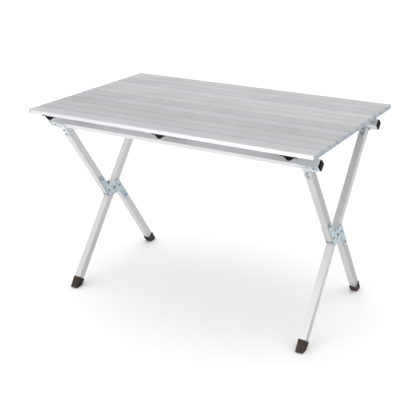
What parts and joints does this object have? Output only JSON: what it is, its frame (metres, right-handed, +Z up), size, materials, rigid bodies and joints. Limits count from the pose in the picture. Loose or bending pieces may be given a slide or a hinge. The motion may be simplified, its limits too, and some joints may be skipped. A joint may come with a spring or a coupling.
{
  "type": "folding table",
  "caption": "Roll-top camping table: hinged aluminium slats clipped to two diamond-set rails on a folding scissor frame with split legs, zinc plates and rubber feet.",
  "frame": {"origin": "on the ground, under the middle of the top", "axes": "+X along the slats, the table's long direction; +Y from the front to the back; +Z up"},
  "size_m": [1.11, 0.696, 0.74],
  "materials": {
    "slat_aluminium": "satin anodised with fine lines along its length",
    "tube_aluminium": "satin drawn tube",
    "zinc_plate": "blue zinc plated steel sheet",
    "rivet_steel": "satin",
    "end_cap_plastic": "satin moulded",
    "dark_plastic": "satin moulded",
    "black_plastic": "satin moulded",
    "foot_rubber": "matt ribbed"
  },
  "bodies": {
    "front_frame": {"front_rail": "tube_aluminium", "front_rail_cap_left": "dark_plastic", "front_rail_cap_right": "dark_plastic", "split_leg_upper_left": "tube_aluminium", "split_leg_lower_left": "tube_aluminium", "rear_foot_left": "foot_rubber", "offset_plate_outer_left": "zinc_plate", "offset_plate_inner_left": "zinc_plate", "pivot_pin_left": "rivet_steel", "front_bracket_lower_left": "zinc_plate", "front_bracket_upper_left": "zinc_plate", "split_leg_upper_right": "tube_aluminium", "split_leg_lower_right": "tube_aluminium", "rear_foot_right": "foot_rubber", "offset_plate_outer_right": "zinc_plate", "offset_plate_inner_right": "zinc_plate", "pivot_pin_right": "rivet_steel", "front_bracket_lower_right": "zinc_plate", "front_bracket_upper_right": "zinc_plate", "offset_plate_rivets": "rivet_steel", "front_bracket_rivets": "rivet_steel"},
    "back_frame": {"back_rail": "tube_aluminium", "back_rail_cap_left": "dark_plastic", "back_rail_cap_right": "dark_plastic", "straight_leg_left": "tube_aluminium", "front_foot_left": "foot_rubber", "back_bracket_lower_left": "zinc_plate", "back_bracket_upper_left": "zinc_plate", "straight_leg_right": "tube_aluminium", "front_foot_right": "foot_rubber", "back_bracket_lower_right": "zinc_plate", "back_bracket_upper_right": "zinc_plate", "back_bracket_rivets": "rivet_steel"},
    "top_slat_01": {"slat_01": "slat_aluminium", "slat_01_end_caps": "end_cap_plastic", "front_edge_clips": "black_plastic"},
    "top_slat_02": {"slat_02": "slat_aluminium", "slat_02_end_caps": "end_cap_plastic", "front_saddles": "black_plastic"},
    "top_slat_03": {"slat_03": "slat_aluminium", "slat_03_end_caps": "end_cap_plastic"},
    "top_slat_04": {"slat_04": "slat_aluminium", "slat_04_end_caps": "end_cap_plastic"},
    "top_slat_05": {"slat_05": "slat_aluminium", "slat_05_end_caps": "end_cap_plastic"},
    "top_slat_06": {"slat_06": "slat_aluminium", "slat_06_end_caps": "end_cap_plastic"},
    "top_slat_07": {"slat_07": "slat_aluminium", "slat_07_end_caps": "end_cap_plastic"},
    "top_slat_08": {"slat_08": "slat_aluminium", "slat_08_end_caps": "end_cap_plastic"},
    "top_slat_09": {"slat_09": "slat_aluminium", "slat_09_end_caps": "end_cap_plastic"},
    "top_slat_10": {"slat_10": "slat_aluminium", "slat_10_end_caps": "end_cap_plastic"},
    "top_slat_11": {"slat_11": "slat_aluminium", "slat_11_end_caps": "end_cap_plastic", "back_saddles": "black_plastic"},
    "top_slat_12": {"slat_12": "slat_aluminium", "slat_12_end_caps": "end_cap_plastic"}
  },
  "joints": [
    {"name": "scissor_fold", "type": "hinge", "parent": "front_frame", "child": "back_frame", "pos_m": [0, 0.014, 0.338], "axis": [1, 0, 0], "range_deg": [0, 70]},
    {"name": "top_lift", "type": "slide", "parent": "front_frame", "child": "top_slat_02", "axis": [0, 0, 1], "range_m": [0, 0.12]},
    {"name": "slat_hinge_01_02", "type": "hinge", "parent": "top_slat_02", "child": "top_slat_01", "pos_m": [0, -0.29, 0.7368], "axis": [-1, 0, 0], "range_deg": [0, 27]},
    {"name": "slat_hinge_02_03", "type": "hinge", "parent": "top_slat_02", "child": "top_slat_03", "pos_m": [0, -0.232, 0.7368], "axis": [1, 0, 0], "range_deg": [0, 27]},
    {"name": "slat_hinge_03_04", "type": "hinge", "parent": "top_slat_03", "child": "top_slat_04", "pos_m": [0, -0.174, 0.7368], "axis": [1, 0, 0], "range_deg": [0, 27]},
    {"name": "slat_hinge_04_05", "type": "hinge", "parent": "top_slat_04", "child": "top_slat_05", "pos_m": [0, -0.116, 0.7368], "axis": [1, 0, 0], "range_deg": [0, 27]},
    {"name": "slat_hinge_05_06", "type": "hinge", "parent": "top_slat_05", "child": "top_slat_06", "pos_m": [0, -0.058, 0.7368], "axis": [1, 0, 0], "range_deg": [0, 27]},
    {"name": "slat_hinge_06_07", "type": "hinge", "parent": "top_slat_06", "child": "top_slat_07", "pos_m": [0, 0, 0.7368], "axis": [1, 0, 0], "range_deg": [0, 27]},
    {"name": "slat_hinge_07_08", "type": "hinge", "parent": "top_slat_07", "child": "top_slat_08", "pos_m": [0, 0.058, 0.7368], "axis": [1, 0, 0], "range_deg": [0, 27]},
    {"name": "slat_hinge_08_09", "type": "hinge", "parent": "top_slat_08", "child": "top_slat_09", "pos_m": [0, 0.116, 0.7368], "axis": [1, 0, 0], "range_deg": [0, 27]},
    {"name": "slat_hinge_09_10", "type": "hinge", "parent": "top_slat_09", "child": "top_slat_10", "pos_m": [0, 0.174, 0.7368], "axis": [1, 0, 0], "range_deg": [0, 27]},
    {"name": "slat_hinge_10_11", "type": "hinge", "parent": "top_slat_10", "child": "top_slat_11", "pos_m": [0, 0.232, 0.7368], "axis": [1, 0, 0], "range_deg": [0, 27]},
    {"name": "slat_hinge_11_12", "type": "hinge", "parent": "top_slat_11", "child": "top_slat_12", "pos_m": [0, 0.29, 0.7368], "axis": [1, 0, 0], "range_deg": [0, 27]}
  ],
  "couplings": [
    {"joint": "slat_hinge_02_03", "follows": "scissor_fold", "ratio": 0.38571},
    {"joint": "slat_hinge_03_04", "follows": "scissor_fold", "ratio": 0.38571},
    {"joint": "slat_hinge_04_05", "follows": "scissor_fold", "ratio": 0.38571},
    {"joint": "slat_hinge_05_06", "follows": "scissor_fold", "ratio": 0.38571}
  ]
}
